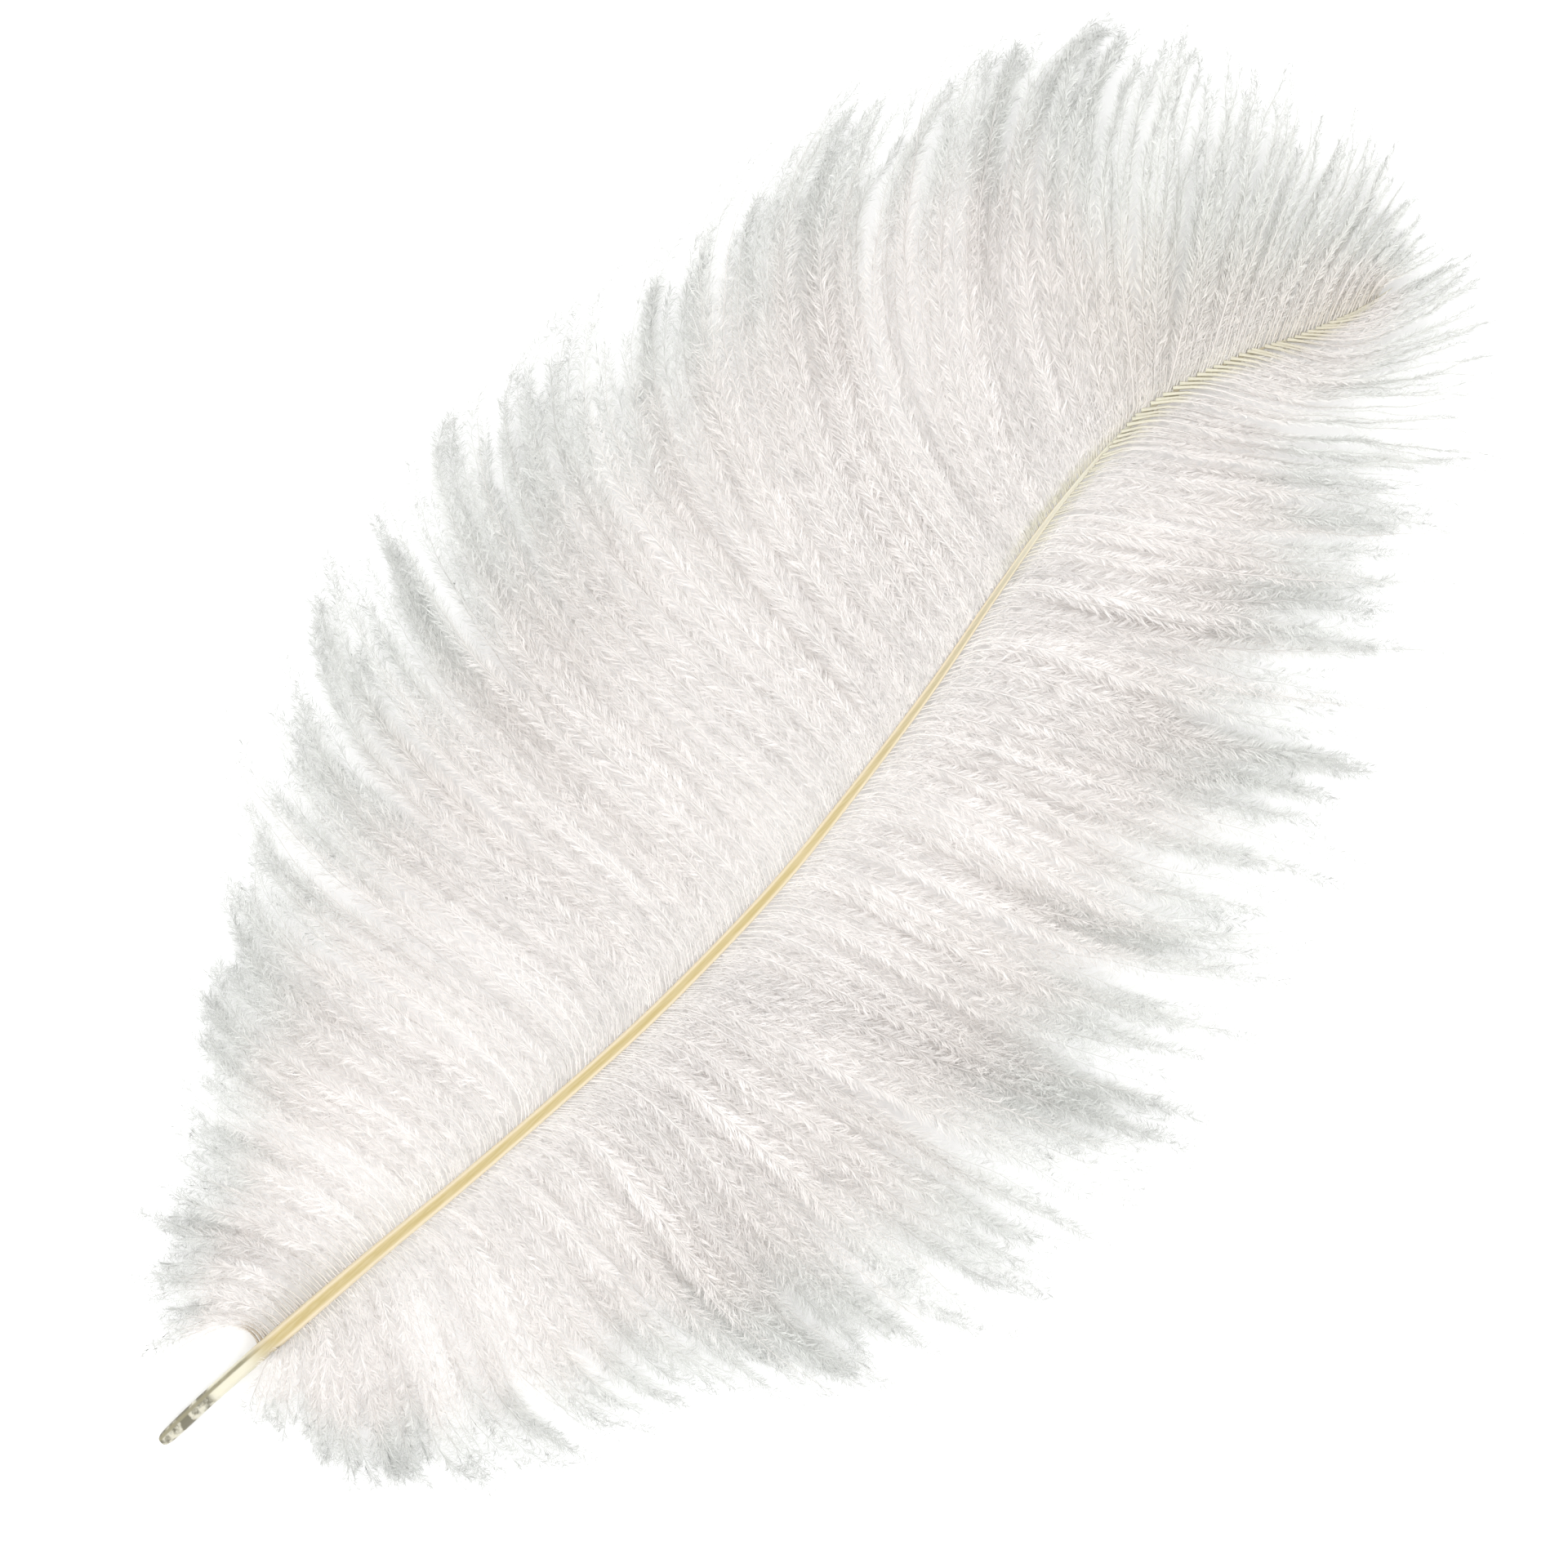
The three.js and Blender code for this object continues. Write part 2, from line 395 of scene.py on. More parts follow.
RIGHT_LEADERS = [
    [34, [11, -178], [14, -184], [16, -189]], [44, [18, -168], [27, -177], [36, -184]],
    [55, [23, -158], [38, -168], [52, -175]], [70, [28, -144], [48, -154], [69, -157]],
    [90, [35, -119], [59, -123], [85, -116]], [110, [38, -97], [67, -97], [101, -90]],
    [130, [44, -75], [77, -79], [115, -71]], [150, [47, -52], [84, -46], [126, -34]],
    [170, [42, -26], [77, -10], [117, 10]], [190, [40, -8], [71, 3], [109, 24]],
    [210, [36, 11], [67, 24], [104, 49]], [230, [32, 32], [61, 42], [98, 67]],
    [250, [27, 54], [55, 71], [90, 93]], [270, [21, 75], [47, 89], [79, 113]],
    [290, [14, 93], [36, 111], [62, 137]], [305, [10, 108], [31, 126], [55, 152]],
    [320, [6, 123], [26, 141], [49, 164]], [335, [4, 134], [23, 150], [48, 172]],
    [350, [5, 147], [22, 163], [43, 184]], [365, [6, 159], [19, 174], [32, 194]],
    [380, [8, 171], [16, 186], [22, 203]], [395, [6, 186], [9, 198], [11, 210]],
    [404, [4, 192], [6, 200], [8, 209]],
]
# Gaps between barbs, at these distances along the shaft. The barbs stand closest where they fan
# out most, and furthest apart on the right of the tip.
LEFT_GAPS = (
    [32, 90, 215, 230, 256, 272, 310, 345, 404],
    [1.1, 1.2, 1.2, 0.98, 0.98, 1.12, 1.05, 0.95, 0.9],
)
RIGHT_GAPS = (
    [32, 90, 115, 128, 168, 185, 310, 340, 365, 404],
    [1.1, 1.25, 1.25, 0.85, 0.85, 1.3, 1.35, 1.95, 2.2, 1.6],
)
# How far the barbs' feet lean towards the tip, at these distances along the shaft.
LEFT_SWEEP = ([32, 70, 130, 320, 350, 404], [-1.5, 0.0, 3.0, 3.4, 1.5, 0.0])
RIGHT_SWEEP = ([32, 70, 130, 320, 350, 404], [-1.5, 0.0, 3.0, 4.5, 8.0, 6.0])
SWEEP_FADE = 4.0              # distance from the root in which most of the lean is lost
# Distances along the shaft between which the down changes.
QUILL_FLUFF_ENDS = (60, 100)
LEFT_FULLNESS_STARTS = (215, 245)
WISPY_TIP_STARTS = (300, 345)
THIN_TIP_STARTS = (310, 350)
TUFT_SIZES = (2, 4)           # barbs in a tuft: at least the first, fewer than the second
LOCK_SIZES = (4, 10)          # the same for a lock
WISP_SHARE = 0.10             # share of the barbs that stand out beyond the rest
LEFT_WISP_REACH, RIGHT_WISP_REACH = 1.15, 1.2   # the longest of them, against the leaders
STRAY_SHARE = 0.05            # share of the barbs that lie across their neighbours
STRAY_LAYER = 4.5             # and the layer that they lie in
BARB_REACHES = (0.76, 1.07)   # the shortest and longest of the other barbs, against the leaders
FULL_LENGTH = 90              # barbs shorter than this bend less
WAVES = ((1.3, 0.9), (2.9, 0.6), (6.5, 0.32))   # waves along a barb, and how far they swing
LAYERS = (-5.5, 5.0)          # the lowest and the highest, over or under the middle one
TOP_HEIGHTS = (1.2, 17.5)     # of a barb's highest place
END_HEIGHTS = (0.8, 6.5)      # of its end
STATIONS = 26                 # places along a barb where its tube has a ring
BARBULES_PER_PIECE = 68000
RIGHT_BARBULES = 0.89         # the right vane has this share of the left one's barbules
UPPER_BARBULES = 1.16         # and the upper pieces have this many times the others'
FLOOR_CLEARANCE = 0.2
OUTER_LIMIT = 118.4           # beyond this, to either side of the origin, tips are held back
HOLD_BACK = 8                 # and this is the most that they pass it
TOP_LIMIT = 22.5


def step(low, high, value):
    t = np.clip((value - low) / (high - low), 0, 1)
    return t * t * (3 - 2 * t)


def cubic(root, third, far_third, tip, share):
    """Places at a share of the way along curves through their roots, thirds and tips."""
    t = share[..., None]
    return (
        root[:, None] * (1 - t) * (1 - 3 * t) * (2 - 3 * t) / 2
        + third[:, None] * 9 * t * (1 - t) * (2 - 3 * t) / 2
        + far_third[:, None] * 9 * t * (1 - t) * (3 * t - 1) / 2
        + tip[:, None] * t * (3 * t - 1) * (3 * t - 2) / 2
    )


def in_groups(count, sizes, rng):
    """Neighbouring barbs in groups of random size: each barb's group, and how many there are."""
    groups = np.zeros(count, int)
    first = number = 0
    while first < count:
        size = rng.integers(*sizes)
        groups[first:first + size] = number
        first += size
        number += 1
    return groups, number


def centre_of(groups, values):
    """The mean of the values in each barb's group."""
    return np.array([values[groups == g].mean() for g in range(groups.max() + 1)])[groups]


def grow_barbs(side, leaders, rng):
    """Centre lines of one side's barbs, [barb, station, xyz], with what else their down needs."""
    lead_root = smooth_line([[leader[0]] for leader in leaders])[:, 0]
    lead_lines = [smooth_line([leader[k] for leader in leaders]) for k in (1, 2, 3)]
    fine = np.linspace(lead_root[0], lead_root[-1], 800)
    barb_gap = np.interp(fine, *(LEFT_GAPS if side < 0 else RIGHT_GAPS))
    rank = np.cumsum((fine[1] - fine[0]) / barb_gap)
    count = int(rank[-1])
    distance = np.interp(np.arange(count) + 0.5 + rng.uniform(-0.3, 0.3, count), rank, fine)
    at_tip = step(295, 330, distance)
    share = np.linspace(0, 1, STATIONS)[None, :]
    locks, lock_count = in_groups(count, LOCK_SIZES, rng)
    tufts, tuft_count = in_groups(count, TUFT_SIZES, rng)
    # Random numbers that a lock, a tuft or a barb has for itself.
    numbers = rng.normal(0, 1, (lock_count + 1, 6))[locks]
    lock_reach, lock_gather, lock_bend, lock_layer, lock_tone, _ = numbers.T
    numbers = rng.normal(0, 1, (tuft_count + 1, 6))[tufts]
    tuft_reach, _, tuft_bend, tuft_layer, tuft_tone, _ = numbers.T
    numbers = rng.normal(0, 1, (count, 8))
    own_reach, own_gather, own_bend, *own_waves, own_end, own_layer = numbers.T
    # The down is fluffiest at the quill, and at the tip every barb stands on its own.
    fluffy = 1 - step(*QUILL_FLUFF_ENDS, distance)
    free = np.clip(step(300, 340, distance) + fluffy, 0, 1)
    reach = 0.965 + 0.014 * np.clip(lock_reach, -1.6, 1.2) + 0.025 * tuft_reach
    reach = np.clip(reach + (0.06 + 0.02 * free) * own_reach, *BARB_REACHES)
    # A few wisps stand out well beyond the rest.
    wisps = rng.random(count) < WISP_SHARE
    far = rng.uniform(1.0, LEFT_WISP_REACH if side < 0 else RIGHT_WISP_REACH, count)
    at = share * np.where(wisps, far, reach)[:, None]

    def bare_line(distance):
        radius = shaft_radius(distance)
        root = shaft_place(distance)
        ahead, right = shaft_heading(distance)
        # Along the shaft they grow from its sides. At the tip the right ones cross over it.
        crossing = step(333, 350, distance) * (0.5 if side < 0 else 2.4)
        root = root + right * (side * radius * (0.85 - crossing))[:, None]
        points = [along_row(row, lead_root, distance) for row in lead_lines]
        return cubic(root[:, :2], *points, at), ahead, root

    line, ahead, root = bare_line(distance)
    # Barbs draw together towards the middle line of their tuft, and a little to their lock's.
    tuft_line = bare_line(centre_of(tufts, distance))[0]
    lock_line = bare_line(centre_of(locks, distance))[0]
    gather = np.clip(0.22 + 0.2 * own_gather, -0.3, 0.6) * (1 - 0.6 * free)
    gather = gather[:, None] * step(0.05, 0.6, share)
    line = line + (tuft_line - line) * gather[..., None]
    gather = np.clip(0.05 * lock_gather + 0.05 * own_bend, -0.2, 0.25)
    gather = gather[:, None] * step(0.5, 1.0, share) * (1 - 0.8 * free[:, None])
    line = line + (lock_line - line) * gather[..., None]

    length = np.linalg.norm(line[:, -1] - line[:, 0], axis=1)[:, None]
    forward = np.gradient(line, axis=1)
    forward /= np.linalg.norm(forward, axis=2, keepdims=True)
    aside = np.stack([-forward[..., 1], forward[..., 0]], -1)
    # Near the rachis the barbs lean towards the tip before they turn outward.
    sweep = np.interp(distance, *(LEFT_SWEEP if side < 0 else RIGHT_SWEEP))[:, None]
    line = line - ahead[:, None, :2] * (sweep * np.exp(-share * length / SWEEP_FADE))[..., None]
    small = np.clip(length / FULL_LENGTH, 0.15, 1)
    bend = (0.35 * lock_bend + 0.8 * tuft_bend)[:, None] * share**2
    bend = bend + own_bend[:, None] * 1.5 * share**1.5
    bend = bend + 2.6 * own_end[:, None] * step(0.6, 1.1, share)
    for (waves, swing), phase in zip(WAVES, own_waves):
        bend = bend + swing * share * np.sin(2 * np.pi * waves * share + 3 * phase[:, None])
    strays = rng.random(count) < STRAY_SHARE
    bend = bend + (strays * own_reach * 7)[:, None] * share * small
    line = line + aside * (bend * small)[..., None]

    # The barbs lie in layers. Each rises a little from its root, and droops to its end.
    layer = tuft_layer * 1.4 + lock_layer * 0.5
    layer = own_layer * 1.5 + layer * (1 - 0.5 * free)
    layer = np.where(strays, STRAY_LAYER, np.clip(layer, *LAYERS))
    root_height = root[:, 2] + at_tip * (side > 0) * (shaft_radius(distance) + 0.35)
    top = root_height * 0.95 + 1.0 + layer * (1 - 0.6 * at_tip)
    top = np.clip(top, *TOP_HEIGHTS)[:, None]
    low = 2.8 + 1.1 * rng.normal(0, 1, count) + 0.5 * layer
    low = np.clip(low, *END_HEIGHTS)[:, None]
    rise = step(0, 0.28, share)
    height = root_height[:, None] * (1 - rise) + top * rise
    fall = step(0.15, 1.0, share)
    height = height * (1 - fall) + low * fall
    line = np.concatenate([line, height[..., None]], axis=2)
    over_limit = np.maximum(np.abs(line[..., 0]) - OUTER_LIMIT, 0)
    held = HOLD_BACK * np.tanh(over_limit / HOLD_BACK)
    line[..., 0] -= np.sign(line[..., 0]) * (over_limit - held)
    tone = 0.3 * lock_tone + 0.6 * tuft_tone + 0.7 * rng.normal(0, 1, count)
    return {"line": line, "distance": distance, "tone": tone, "stray": strays | wisps}


TUBE_ANGLES = (math.pi / 2, math.pi * 7 / 6, math.pi * 11 / 6)
THINNEST = 0.045              # radius of a barb towards its end
TUBE_END = 0.01               # radius of its last ring
FOOT_LENGTH = 4.5             # distance from the root in which its thicker foot is mostly lost


def barb_tubes(barbs, side):
    """Three-sided tapering tubes round the barbs' centre lines: corners, triangles, numbers."""
    line = barbs["line"]
    count = len(line)
    share = np.linspace(0, 1, STATIONS)[None, :].repeat(count, 0)
    forward = np.gradient(line, axis=1)
    forward /= np.linalg.norm(forward, axis=2, keepdims=True)
    aside = np.stack([-forward[..., 1], forward[..., 0], 0 * forward[..., 0]], -1)
    aside /= np.linalg.norm(aside, axis=2, keepdims=True)
    over = np.cross(forward, aside)
    length = np.linalg.norm(np.diff(line, axis=1), axis=2).sum(1)[:, None]
    # The feet are thickest on the right of the tip, where they stand like a comb's teeth.
    comb = step(324, 344, barbs["distance"]) * (side > 0)
    comb = comb + (0.4 if side < 0 else 0.15) * (1 - step(55, 85, barbs["distance"]))
    base = 0.04 + 0.36 * comb[:, None]
    thin_tip = step(*THIN_TIP_STARTS, barbs["distance"])[:, None]
    stem = 0.19 + (0.07 if side < 0 else 0.06) * thin_tip
    thick = stem * (1 - share) ** 0.8 + THINNEST + base * np.exp(-share * length / FOOT_LENGTH)
    thick[:, -1] = TUBE_END
    corners = []
    for angle in TUBE_ANGLES:
        off = aside * math.cos(angle) + over * math.sin(angle)
        corners.append(line + off * thick[..., None])
    corners = np.stack(corners, 2)                      # barb, station, corner, xyz
    index = np.arange(count * STATIONS * 3).reshape(count, STATIONS, 3)
    faces = []
    for a, b in ((0, 1), (1, 2), (2, 0)):
        near_a, near_b = index[:, :-1, a], index[:, :-1, b]
        far_a, far_b = index[:, 1:, a], index[:, 1:, b]
        faces.append(np.stack([near_a, far_b, far_a], -1).reshape(-1, 3))
        faces.append(np.stack([near_a, near_b, far_b], -1).reshape(-1, 3))
    faces.append(index[:, 0, ::-1].reshape(-1, 3))
    faces.append(index[:, -1].reshape(-1, 3))
    normals = (corners - line[:, :, None]) / thick[:, :, None, None]
    numbers = share.repeat(3, axis=1).ravel()
    return corners.reshape(-1, 3), np.vstack(faces), numbers, normals.reshape(-1, 3)


# A barbule's length by the distance from the barb's root, and that length's share and half the
# barbule's width by the share of the way along the barb.
BARBULE_LENGTHS = ([0, 5, 12, 35], [1.3, 2.3, 3.6, 4.4])
BARBULE_SHARES = ([0, 0.6, 0.85, 1], [1, 1, 0.92, 0.7])
BARBULE_HALF_WIDTHS = ([0, 0.6, 1], [0.072, 0.078, 0.064])
WISP_LENGTH = 1.2             # length of barb on which neighbouring barbules cling together
ROOT_LEAN, OUTER_LEAN = 44, 14   # degrees from the barb, and what is added further out
LEANS = (12, 100)             # the least and the greatest lean
GREATEST_TILT = 80            # degrees out of the vane's plane
GREATEST_ROLL = 1.2           # radians about the barbule's own length
TIP_DROOP = 0.15              # how far a barbule's tip hangs, against its length


def lay_barbules(barbs, side, number, rng):
    """Bent diamond slips, two triangles each, in two rows along every barb."""
    line = barbs["line"]
    count = len(line)
    length = np.linalg.norm(np.diff(line, axis=1), axis=2).sum(1)
    weight = length * np.where(barbs["stray"], 0.5, 1.0)
    if side < 0:
        weight = weight * (1 + 0.25 * step(*LEFT_FULLNESS_STARTS, barbs["distance"]))
        weight = weight * (1 + 0.3 * step(285, 335, barbs["distance"]))
    per_barb = np.maximum((weight / weight.sum() * number).astype(int), 4)
    # Where the barbs fan out least, their ends carry fewer barbules.
    if side < 0:
        sparse = step(225, 255, barbs["distance"]) * (1 - step(305, 325, barbs["distance"]))
    else:
        sparse = step(72, 88, barbs["distance"]) * (1 - step(110, 125, barbs["distance"])) * 0.7
    barb = np.repeat(np.arange(count), per_barb)
    order = np.concatenate([np.arange(n) for n in per_barb])
    of = per_barb[barb]
    share = ((order + rng.uniform(0, 1, len(barb))) / of) ** (1 + 0.35 * sparse[barb])
    mm = share * length[barb]
    at_quill = 1 - step(50, 85, barbs["distance"][barb])
    bare = 0.5 + 2.5 * at_quill if side < 0 else 1.3 + 1.0 * at_quill
    keep = (mm > bare) | (rng.random(len(barb)) < 0.25)
    barb, order, share, mm = barb[keep], order[keep], share[keep], mm[keep]
    n = len(barb)
    where = np.clip(share, 0, 0.9999) * (STATIONS - 1)
    near = where.astype(int)
    part = (where - near)[:, None]
    root = line[barb, near] * (1 - part) + line[barb, near + 1] * part
    forward = line[barb, near + 1] - line[barb, near]
    forward /= np.linalg.norm(forward, axis=1, keepdims=True)
    aside = np.stack([-forward[:, 1], forward[:, 0], np.zeros(n)], -1)
    aside /= np.linalg.norm(aside, axis=1, keepdims=True)
    over = np.cross(forward, aside)

    row = np.where(order % 2 == 0, 1.0, -1.0)
    # Neighbours in a row cling together in small wisps.
    wisp = (mm / WISP_LENGTH).astype(int) * 2 + (order % 2)
    wisps = wisp.max() + 1
    shared = rng.normal(0, 1, (count, wisps, 4))[barb, wisp]
    root_at = barbs["distance"][barb]
    fluffy = 1 - step(*QUILL_FLUFF_ENDS, root_at)
    loose = np.interp(share, [0.4, 1], [0.8, 1.7]) * (1 + 0.6 * fluffy)
    wispy = step(*WISPY_TIP_STARTS, root_at)
    strand = step(0.2, 0.6, share) * wispy
    lean = step(0.4, 0.9, share) - strand - sparse[barb] * step(0.7, 1, share)
    lean = ROOT_LEAN + OUTER_LEAN * lean
    lean = lean + loose * (9 * shared[:, 0] + 9 * rng.normal(0, 1, n))
    lean = np.radians(np.clip(lean, *LEANS))
    tilt = 24 * shared[:, 1] + 27 * rng.normal(0, 1, n)
    tilt = np.radians(np.clip(tilt, -GREATEST_TILT, GREATEST_TILT))
    outward = aside * (row * np.cos(tilt))[:, None] + over * np.sin(tilt)[:, None]
    direction = forward * np.cos(lean)[:, None] + outward * np.sin(lean)[:, None]
    size = np.interp(mm, *BARBULE_LENGTHS) * np.interp(share, *BARBULE_SHARES)
    fanned = step(*LEFT_FULLNESS_STARTS, root_at) * (1 - step(262, 285, root_at)) * (side < 0)
    size = size * (1 + 0.15 * fanned * step(0.3, 0.8, share))
    # Towards its end a barb is a slim wisp.
    slim = step(0.72, 1.0, share) * (0.25 + 0.6 * sparse[barb])
    size = size * (1 - 0.5 * slim)
    finer = step(345, 385, root_at) * 0.38 if side < 0 else wispy * 0.42
    size = size * (1 - finer) * (1 - 0.3 * strand)
    size = size * np.where(barbs["stray"][barb], 0.7, 1.0)
    size = size * np.clip(0.95 + 0.16 * shared[:, 2] + 0.12 * rng.normal(0, 1, n), 0.4, 1.4)
    curl = forward * (0.3 + 0.35 * loose * rng.normal(0, 1, n))[:, None]
    curl = curl + over * (0.25 * shared[:, 3] + 0.2 * rng.normal(0, 1, n))[:, None]
    curl[:, 2] -= TIP_DROOP
    middle = root + direction * (size * 0.5)[:, None]
    tip = root + (direction + curl * 0.55) * (size * 0.92)[:, None]
    roll = np.clip(rng.normal(0, 0.5, n), -GREATEST_ROLL, GREATEST_ROLL)
    flat = np.cross(np.array([0.0, 0.0, 1.0]), direction)
    flat /= np.maximum(np.linalg.norm(flat, axis=1, keepdims=True), 1e-6)
    edge = np.cross(direction, flat)
    broad = flat * np.cos(roll)[:, None] + edge * np.sin(roll)[:, None]
    half_width = np.interp(share, *BARBULE_HALF_WIDTHS) * rng.uniform(0.8, 1.2, n)
    broad = broad * half_width[:, None]
    corners = np.stack([root, middle - broad, tip, middle + broad], 1)
    lowest = FLOOR_CLEARANCE + 0.3 * rng.random((n, 1))
    corners[..., 2] = np.clip(np.maximum(corners[..., 2], lowest), 0, TOP_LIMIT)
    first = np.arange(n)[:, None] * 4
    faces = np.concatenate([first + (0, 1, 3), first + (1, 2, 3)], 1).reshape(-1, 3)
    # Light falls on the down as on soft round strands, so its normals follow the barb.
    clump = rng.normal(0, 1, (count, wisps, 3))[barb, wisp]
    soft = over + aside * (row * 0.4)[:, None] + 0.2 * clump + 0.2 * rng.normal(0, 1, (n, 3))
    soft /= np.linalg.norm(soft, axis=1, keepdims=True)
    tone = barbs["tone"][barb] + 0.6 * shared[:, 0] + 0.6 * rng.normal(0, 1, n)
    return corners.reshape(-1, 3), faces, barb, share, row, soft.repeat(4, axis=0), tone


MAP_FOOT, MAP_HEIGHT = 0.01, 0.97
TUBE_ON_MAP = np.array([-0.04, 0.0, 0.04])             # across its column, for each corner
SLIP_ACROSS_MAP = np.array([0.06, 0.25, 0.44, 0.25])
SLIP_UP_MAP = np.array([0.0, 0.0012, 0.004, 0.0028])


def bake_places(barb, share, row, count):
    """Where each corner lies on the piece's own map: a column to each barb, its root lowest."""
    columns = np.arange(count)
    tube = np.empty((count, STATIONS, 3, 2))
    tube[..., 0] = (columns[:, None, None] + 0.5 + TUBE_ON_MAP) / count
    tube[..., 1] = MAP_FOOT + MAP_HEIGHT * np.linspace(0, 1, STATIONS)[None, :, None]
    slips = np.empty((len(barb), 4, 2))
    slips[..., 0] = (barb[:, None] + 0.5 + row[:, None] * SLIP_ACROSS_MAP) / count
    slips[..., 1] = MAP_FOOT + MAP_HEIGHT * share[:, None] + SLIP_UP_MAP
    return np.vstack([tube.reshape(-1, 2), slips.reshape(-1, 2)])


def make_mesh(name, corners, faces):
    mesh = bpy.data.meshes.new(name)
    mesh.vertices.add(len(corners))
    mesh.vertices.foreach_set("co", (corners * MM).astype(np.float32).ravel())
    mesh.loops.add(faces.size)
    mesh.loops.foreach_set("vertex_index", faces.astype(np.int32).ravel())
    mesh.polygons.add(len(faces))
    mesh.polygons.foreach_set("loop_start", np.arange(0, faces.size, 3, dtype=np.int32))
    mesh.update()
    mesh.validate()
    piece = bpy.data.objects.new(name, mesh)
    bpy.context.scene.collection.objects.link(piece)
    mesh.shade_smooth()
    return piece


WARM_WHITE = (0.985, 0.957, 0.94)
# Painted shade: where the down is thin it goes from warm white through these greys, the grey that
# thin fibres show against the bright sheet.
WARM_GREY = (0.87, 0.835, 0.81)
COOL_GREY = (0.75, 0.76, 0.735)
STRAND_GREY = (0.58, 0.59, 0.57)
BARB_CREAM = (0.80, 0.77, 0.62)
ROOT_TAN = (0.56, 0.48, 0.37)
THROUGH_WHITE = (0.93, 0.915, 0.90)   # light that comes through the down
down, tint = new_material("down")
tone = given(tint, "tone")
cream = given(tint, "cream")
tan = given(tint, "tan")
thin_down_shade = given(tint, "thin_down_shade")
place = tint.node("ShaderNodeTexCoord", {}, {}, out=3)
drift = tint.node("ShaderNodeTexNoise", {}, {"Vector": place, "Scale": 38, "Detail": 2})
flecks = tint.node("ShaderNodeTexNoise", {}, {"Vector": place, "Scale": 700, "Detail": 2})
# Painted shade: the down is painted greyer where it is thin, and less light passes through it
# there.
edge = thin_down_shade + 0.24 * (drift - 0.5)
colour = edge.between(0.0, 0.45).mix(WARM_WHITE, WARM_GREY)
colour = edge.between(0.35, 0.8).mix(colour, COOL_GREY)
colour = edge.between(0.84, 1.0).mix(colour, STRAND_GREY)
colour = cream.mix(colour, BARB_CREAM)
colour = tan.mix(colour, ROOT_TAN)
shade = 0.965 + 0.03 * tone + 0.06 * (flecks - 0.5)
bright = tint.node("ShaderNodeVectorMath", {"operation": "SCALE"}, {0: colour, "Scale": shade})
rough = 0.72 + 0.2 * drift
fuzz = tint.node("ShaderNodeBump", {}, {"Height": flecks, "Strength": 0.2, "Distance": 0.0001})
surface = tint.node(
    "ShaderNodeBsdfPrincipled", {},
    {"Base Color": bright, "Roughness": rough, "Normal": fuzz, "Specular IOR Level": 0.3},
)
through = tint.node("ShaderNodeBsdfTranslucent", {}, {"Color": (*THROUGH_WHITE, 1)})
fibre = tint.node("ShaderNodeMixShader", {}, {0: 0.3 - 0.22 * edge, 1: surface, 2: through})
tint.node("ShaderNodeOutputMaterial", {}, {"Surface": fibre})
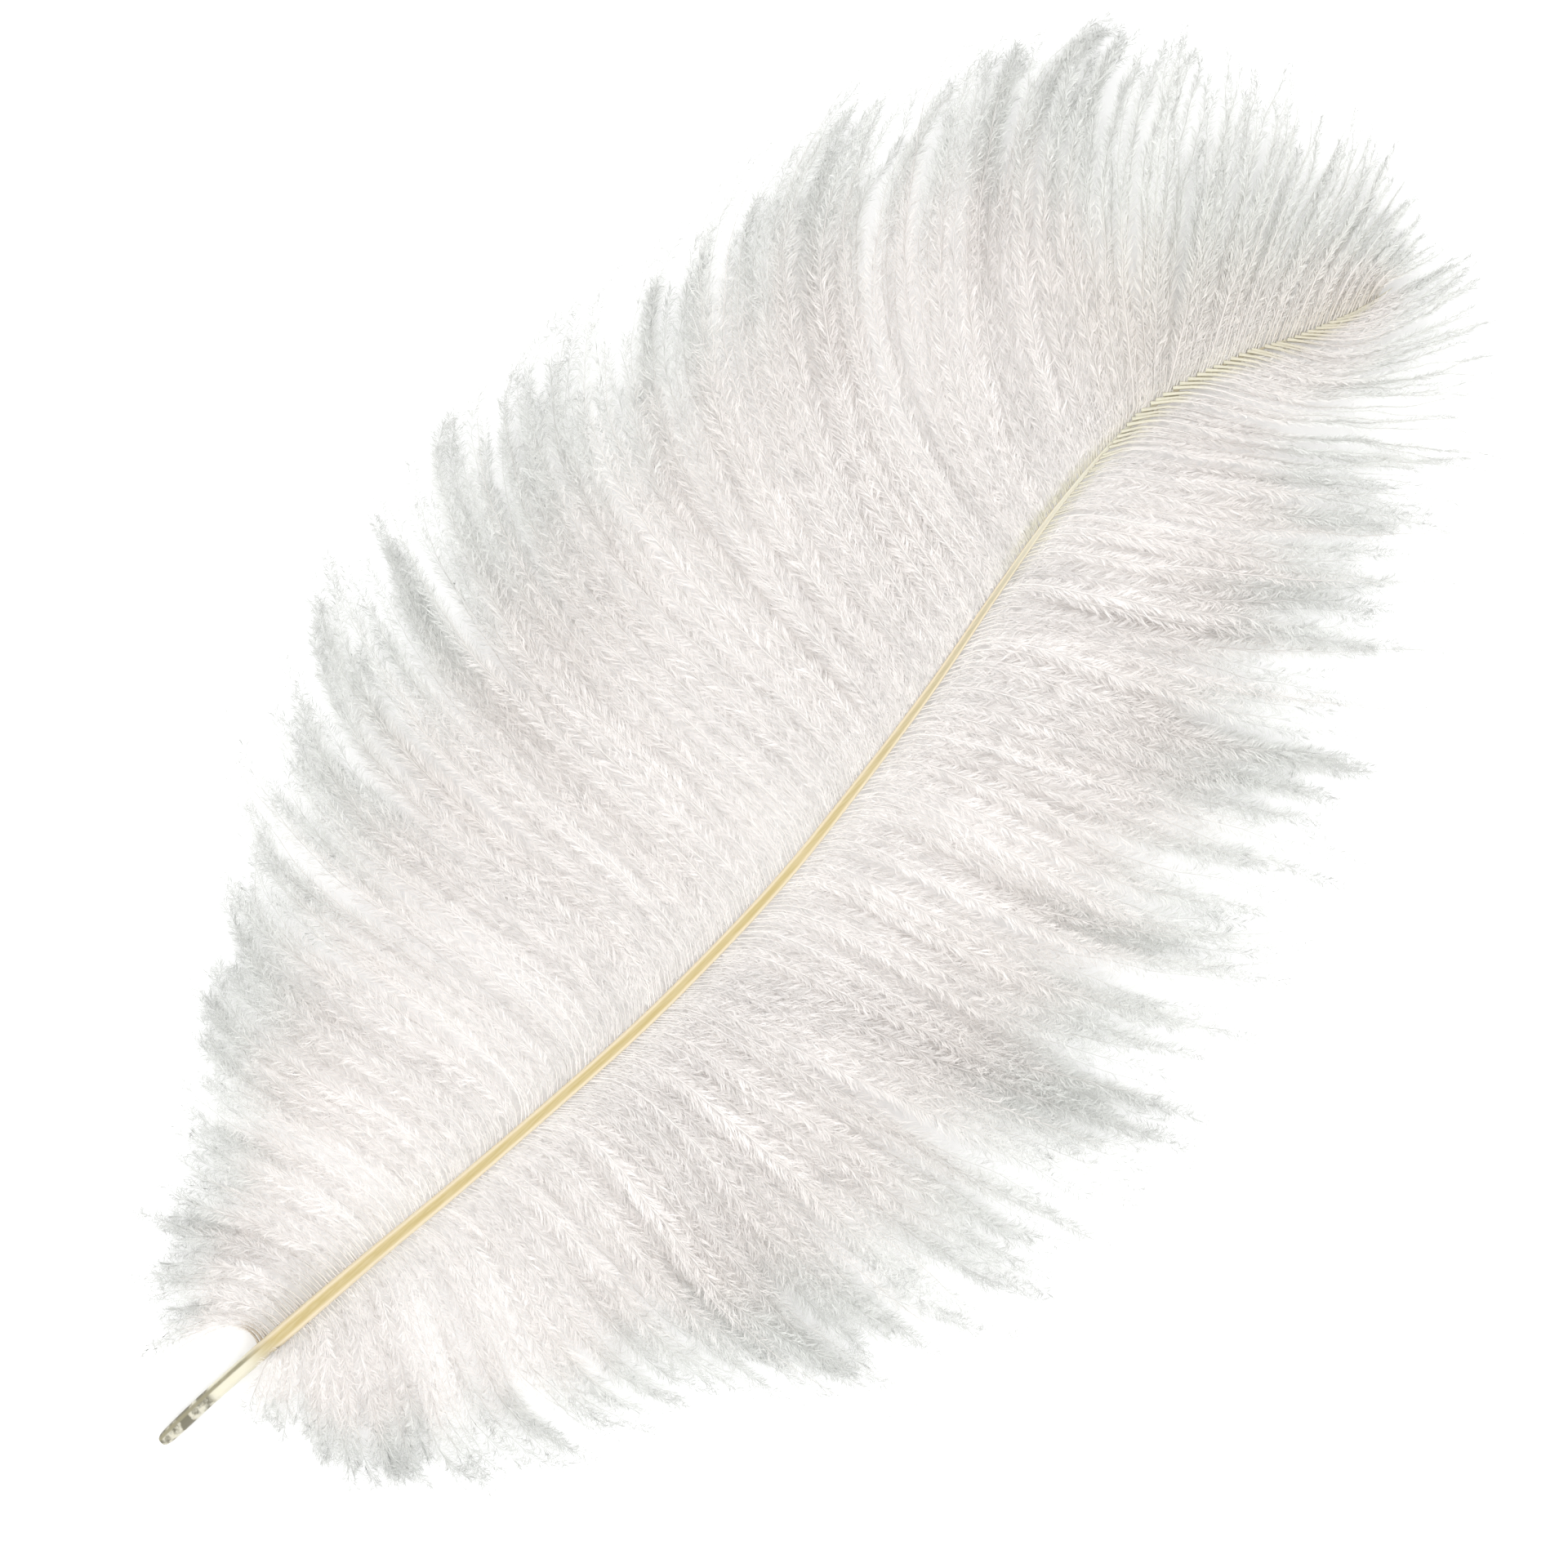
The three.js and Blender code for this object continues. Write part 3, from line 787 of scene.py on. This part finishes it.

# The painted shade that greys thin down: its greatest amount, and what is added at the barbs'
# ends.
MOST_THIN_SHADE, END_THIN_SHADE = 0.83, 0.17     # how thin the down gets, and what is added at its ends
VANES = (("left_vane", -1, LEFT_LEADERS, 11), ("right_vane", 1, RIGHT_LEADERS, 12))
PARTS = (("lower", 0, 1 / 3), ("middle", 1 / 3, 2 / 3), ("upper", 2 / 3, 2))
for vane, side, leaders, seed in VANES:
    rng = np.random.default_rng(seed)
    barbs = grow_barbs(side, leaders, rng)
    lengths = np.linalg.norm(np.diff(barbs["line"], axis=1), axis=2).sum(1)
    filled = np.cumsum(lengths) / lengths.sum()
    for part, low, high in PARTS:
        chosen = (filled > low) & (filled <= high)
        some = {key: values[chosen] for key, values in barbs.items()}
        corners, faces, tube_share, tube_normals = barb_tubes(some, side)
        number = BARBULES_PER_PIECE if side < 0 else BARBULES_PER_PIECE * RIGHT_BARBULES
        number = int(number * (UPPER_BARBULES if part == "upper" else 1.0))
        slips, slip_faces, barb, share, row, soft, tone = lay_barbules(some, side, number, rng)
        piece = make_mesh(
            f"{vane}_{part}", np.vstack([corners, slips]),
            np.vstack([faces, slip_faces + len(corners)]),
        )
        count = chosen.sum()
        corner_barb = np.r_[np.repeat(np.arange(count), STATIONS * 3), barb.repeat(4)]
        corner_share = np.r_[tube_share, share.repeat(4)]
        is_slip = np.r_[np.zeros(len(corners)), np.ones(len(slips))]
        root_at = some["distance"][corner_barb]
        mm = corner_share * lengths[chosen][corner_barb]
        # The barbs' feet are cream beside the shaft and browner at both ends of it.
        near_tip = step(320, 342, root_at)
        combed = 0.1 + (0.85 if side > 0 else 0.1) * near_tip
        cream_amount = (1 - step(2.5, 7, mm)) * combed * (1 - 0.7 * is_slip)
        beside = step(285, 310, root_at) * (1 - near_tip) * 0.9
        cream_amount = cream_amount + (1 - step(1.2, 2.6, mm)) * beside
        if side < 0:
            cream_amount = cream_amount + 0.1 * near_tip * (1 - step(0.3, 0.8, corner_share))
        browner = (1 - step(40, 85, root_at)) * (0.28 if side < 0 else 0.12)
        browner = browner + step(362, 385, root_at) * 0.25
        tan_amount = (1 - step(2, 14, mm)) * browner * (1 - 0.65 * is_slip)
        # The first left barbs' feet are painted tan: partly their own brown, partly painted shade
        # in the dark fold under the lowest barbs.
        if side < 0:
            tan_amount = tan_amount + (1 - step(32, 36, root_at)) * (1 - step(4, 9, mm)) * 0.9
        # The down is thinner outwards and towards the tip, where it is painted greyer: painted
        # shade, the grey that thin fibres show against the bright sheet.
        thin_down_shade = MOST_THIN_SHADE * np.clip((corner_share - 0.15) / 0.7, 0, 1) ** 1.7
        greyer = 0.5 - (0.15 if side > 0 else 0.05) * is_slip
        thin_down_shade = np.minimum(thin_down_shade + greyer * step(*THIN_TIP_STARTS, root_at), MOST_THIN_SHADE)
        thin_down_shade = thin_down_shade + END_THIN_SHADE * step(0.85, 1.0, corner_share)
        thin_down_shade = thin_down_shade + 0.12 * (1 - step(60, 110, root_at)) * step(0.55, 0.85, corner_share)
        give_numbers(piece, "thin_down_shade", np.minimum(thin_down_shade, 1) * (0.8 + 0.2 * is_slip))
        tube_tone = some["tone"].repeat(STATIONS * 3)
        give_numbers(piece, "tone", np.r_[tube_tone, tone.repeat(4)])
        give_numbers(piece, "cream", cream_amount)
        give_numbers(piece, "tan", tan_amount)
        layout = bake_places(barb, share, row, count)
        layer = piece.data.uv_layers.new(name="OFBake")
        loops = np.empty(len(piece.data.loops), np.int32)
        piece.data.loops.foreach_get("vertex_index", loops)
        layer.uv.foreach_set("vector", layout[loops].astype(np.float32).ravel())
        piece.data.normals_split_custom_set_from_vertices(np.vstack([tube_normals, soft]))
        wear(piece, down)
        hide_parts(vane)
        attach(piece, "root")
